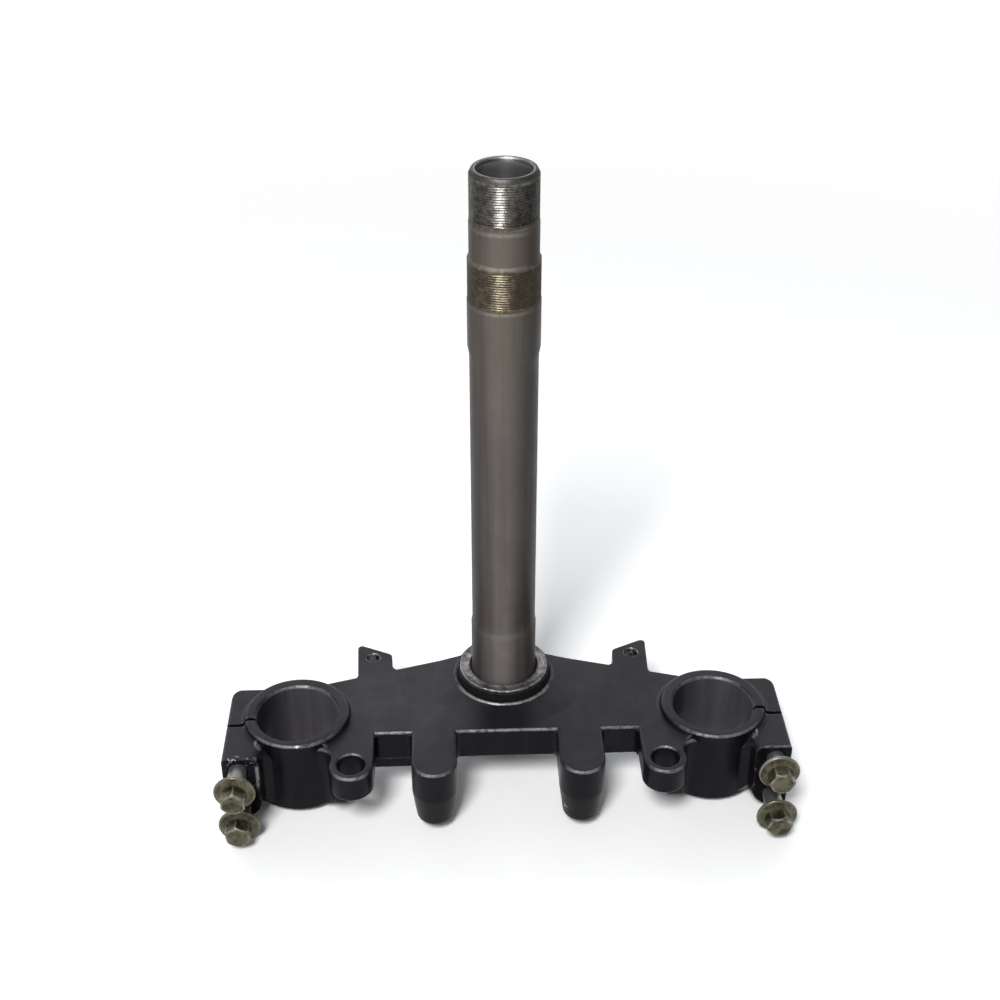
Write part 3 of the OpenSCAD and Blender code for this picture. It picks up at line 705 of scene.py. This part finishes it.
def stem_steel():
    """Steel that has browned in use, with two dirty threads, painted highlights on its ledges, its
    foot and its end, and painted shade on its sides.
    """
    g = Graph("used_stem_steel")
    r = g.radius_from(0, 0)
    grain = g.noise(900, 4, 0.6, stretch=(1, 1, 0.25))
    rings = g.noise(700, 3, 0.5, stretch=(0.02, 0.02, 1.0))
    streaks = g.noise(230, 4, 0.6, stretch=(1, 1, 0.03), seed=7.3)
    blotch = g.noise(42, 5, 0.6, seed=2.0)
    stain = g.noise(70, 5, 0.65, stretch=(1, 1, 0.45), seed=4.0)
    speck = g.noise(520, 4, 0.6, seed=6.0)
    grit = g.noise(1100, 3, 0.6, seed=3.0)
    in_low = g.between(g.z, around(LOW_THREAD_BOTTOM, -0.6, 0.4), around(NECK_BOTTOM, -1.5, -0.3))
    in_top = g.band(g.z, *around(NECK_TOP, -0.2, 0.8))
    end = g.band(g.z, *around(STEM_TOP, -2.0, -1.6))
    inside = g.fall(r, *around(BORE_R, 0.2, 0.5))

    base = browned_steel(g, blotch, streaks, stain, speck)
    base = g.mix(g.mul(in_low, g.band(blotch, 0.2, 0.7, 1.0, 0.75)), base,
                 low_thread_grime(g, r, speck, stain))
    base = g.mix(g.mul(in_top, 0.9), base, top_thread_grime(g, r, speck, grit))
    # painted highlights on the stem's ledges
    base = g.mix(g.mul(stem_ledge_highlights(g, speck), 0.62), base, LEDGE_HIGHLIGHT)
    base = stem_end(g, base, r, grit, end, inside)
    # painted shade on the stem's sides
    base = g.mix(stem_side_shade(g, inside, g.union(in_low, in_top), streaks), base, SIDE_SHADE)

    smoother = g.add(g.mul(in_low, 0.06), g.mul(in_top, 0.13))
    rough = g.add(g.sub(g.band(blotch, 0.25, 0.75, 0.38, 0.50), smoother), g.mul(end, 0.15))
    metal = g.union(0.26, g.add(g.mul(in_low, 0.40), g.mul(in_top, 0.55)))
    dirt = g.mul(g.add(g.mul(in_low, 2.5), in_top), speck)
    height = g.add(g.mul(grain, 0.6), g.mul(rings, 0.4), dirt)
    return g.surface(Base_Color=base, Roughness=rough, Metallic=metal,
                     Normal=g.bump(height, 0.08, 0.6),
                     Specular_IOR_Level=0.3, Specular_Tint=STEEL_GLOSS)


# The smaller pieces


def race_steel():
    """Bearing steel with dried grease and fine rust."""
    g = Graph("bearing_race_steel")
    grain = g.noise(900, 4, 0.65)
    blotch = g.noise(190, 5, 0.7, seed=1.0)
    base = g.mix(g.band(blotch, 0.38, 0.62), RACE_DARK, RACE_PALE)
    base = g.mix(g.mul(g.band(grain, 0.56, 0.66), 0.7), base, RACE_SPECK)
    # darker in the corner next to the stem
    grime = g.fall(g.radius_from(0, 0), *around(SEAT_R, 0.45, 1.65))
    base = g.mix(g.mul(grime, 0.75), base, RACE_CORNER_DARK)
    rough = g.band(grain, 0.3, 0.7, 0.34, 0.55)
    normal = g.bump(g.add(grain, blotch), 0.22, 0.8, g.bevel(0.3))
    return g.surface(Base_Color=base, Roughness=rough, Metallic=0.8, Normal=normal)


def seal_rubber():
    """Greasy black rubber."""
    g = Graph("seal_rubber")
    grain = g.noise(1400, 3)
    base = g.mix(g.band(grain, 0.35, 0.7), RUBBER, RUBBER_PALE)
    rough = g.band(grain, 0.3, 0.7, 0.5, 0.7)
    normal = g.bump(grain, 0.06, 0.6)
    return g.surface(Base_Color=base, Roughness=rough, Normal=normal, Specular_IOR_Level=0.25)


def bolt_zinc():
    """Olive zinc plate, darkened in use and rubbed bright at the edges."""
    g = Graph("olive_zinc_plate")
    grain = g.noise(1300, 4, 0.6)
    blotch = g.noise(230, 4, 0.65, seed=2.5)
    base = g.mix(g.band(blotch, 0.35, 0.68), ZINC_DARK, ZINC)
    pale_edges = g.mul(g.band(g.edges(1.1), 0.12, 0.30), g.band(grain, 0.30, 0.50, 0.3, 1.0), 0.75)
    base = g.mix(pale_edges, base, ZINC_WORN)
    # the shank under the flange is grey and cleaner
    shank = g.fall(g.absolute(g.sub(g.y, SHANK_MIDDLE)), SHANK_HALF, SHANK_HALF + 0.6)
    base = g.mix(g.mul(shank, 0.7), base, SHANK)
    rough = g.band(blotch, 0.3, 0.7, 0.30, 0.46)
    normal = g.bump(grain, 0.10, 0.7, g.bevel(0.4))
    return g.surface(Base_Color=base, Roughness=rough, Metallic=0.75, Normal=normal)


def paint_nodes():
    """Give every piece but the stem its material."""
    looks = {
        "yoke": black_paint(),
        "lower_bearing_race": race_steel(),
        "dust_seal": seal_rubber(),
    }
    zinc = bolt_zinc()
    for name in nodes:
        material = zinc if name.endswith("pinch_bolt") else looks.get(name)
        if material:
            mesh = nodes[name].data
            mesh.materials.clear()
            mesh.materials.append(material)


# Scene


def sees_background(tree):
    """1 for rays of the camera and for those in a gloss or through glass."""
    path = tree.nodes.new("ShaderNodeLightPath")
    out = path.outputs["Is Camera Ray"]
    for ray in ("Is Glossy Ray", "Is Transmission Ray"):
        out = calc(tree, "MAXIMUM", out, path.outputs[ray])
    return out


def floor_material():
    """Pale grey to the light. For seen rays whiter, and plain white far off."""
    material, t, out = empty_material("pale_floor")
    seen = sees_background(t)
    diffuse = t.nodes.new("ShaderNodeBsdfDiffuse")
    t.links.new(mix_colours(t, seen, FLOOR_LIT, FLOOR_SEEN), diffuse.inputs["Color"])
    white = t.nodes.new("ShaderNodeEmission")
    place = t.nodes.new("ShaderNodeTexCoord")
    distance = t.nodes.new("ShaderNodeVectorMath")
    distance.operation = "LENGTH"
    t.links.new(place.outputs["Object"], distance.inputs[0])
    far = ramp(t, distance.outputs["Value"], FADE_FROM, FADE_TO)
    t.links.new(mix_shaders(t, calc(t, "MULTIPLY", far, seen), diffuse, white), out)
    return material


def build_floor(z):
    """A large square floor at height z."""
    h = FLOOR_HALF
    corners = [(-h, -h, z), (h, -h, z), (h, h, z), (-h, h, z)]
    floor = mesh_object("floor", corners, [(0, 1, 2, 3)], floor_material())


def backdrop_material():
    """Plain white for the camera and for gloss, and nothing to light."""
    material, t, out = empty_material("white_backdrop")
    clear = t.nodes.new("ShaderNodeBsdfTransparent")
    white = t.nodes.new("ShaderNodeEmission")
    t.links.new(mix_shaders(t, sees_background(t), clear, white), out)
    return material


def build_backdrop(z):
    """A low round wall far off, so that low views end in white."""
    verts, faces = [], []
    for j in range(BACKDROP_SIDES):
        a = 2 * math.pi * j / BACKDROP_SIDES
        x, y = BACKDROP_RADIUS * math.cos(a), BACKDROP_RADIUS * math.sin(a)
        verts += [(x, y, z), (x, y, z + BACKDROP_HEIGHT)]
        k = (j + 1) % BACKDROP_SIDES
        faces.append((2 * j, 2 * j + 1, 2 * k + 1, 2 * k))
    wall = mesh_object("backdrop", verts, faces, backdrop_material())


def build_lamp():
    """One soft lamp, above, in front and a little to the left."""
    light = bpy.data.lights.new("key", "AREA")
    light.shape = "RECTANGLE"
    light.size = KEY_WIDTH
    light.size_y = KEY_HEIGHT
    light.energy = KEY_WATTS
    lamp = bpy.data.objects.new("key", light)
    bpy.context.scene.collection.objects.link(lamp)
    lamp.location = KEY_PLACE
    aim = Vector(KEY_TARGET) - Vector(KEY_PLACE)
    lamp.rotation_euler = aim.to_track_quat("-Z", "Y").to_euler()


def build_world():
    """A soft sky, bright behind the part, dim in front, brighter on the left."""
    world = bpy.data.worlds.new("studio")
    bpy.context.scene.world = world
    world.use_nodes = True
    t = world.node_tree
    t.nodes.clear()
    out = t.nodes.new("ShaderNodeOutputWorld")
    sky = t.nodes.new("ShaderNodeBackground")
    coords = t.nodes.new("ShaderNodeTexCoord")
    x, y, z = split(t, coords.outputs["Generated"])
    up = ramp(t, z, 0.2, 0.95, 1.0, 0.5)
    back = ramp(t, y, 0.35, 0.82, SKY_FRONT, SKY_BACK)
    left = ramp(t, x, -0.35, 0.35, SKY_LEFT, SKY_RIGHT)
    strength = calc(t, "MULTIPLY", calc(t, "MULTIPLY", up, back), left)
    t.links.new(strength, sky.inputs["Strength"])
    plug(t, SKY_COLOUR, sky.inputs["Color"])
    t.links.new(sky.outputs[0], out.inputs["Surface"])


def build_camera():
    """The camera that was fitted to the photograph."""
    data = bpy.data.cameras.new("camera")
    data.sensor_width = CAMERA_SENSOR
    data.lens = CAMERA_LENS
    data.dof.use_dof = False
    camera = bpy.data.objects.new("camera", data)
    bpy.context.scene.collection.objects.link(camera)
    yaw, pitch = math.radians(CAMERA_YAW), math.radians(CAMERA_PITCH)
    level = math.cos(pitch)
    forward = Vector((math.sin(yaw) * level, math.cos(yaw) * level, -math.sin(pitch)))
    camera.location = CAMERA_PLACE
    camera.rotation_euler = forward.to_track_quat("-Z", "Y").to_euler()
    bpy.context.scene.camera = camera


paint_nodes()
stem = build_stem(stem_steel())
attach(stem, "root")
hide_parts("steering_stem")

build_floor(size_before[0].z)
build_backdrop(size_before[0].z)
build_world()
build_lamp()
build_camera()

scene = bpy.context.scene
scene.view_settings.view_transform = "Standard"
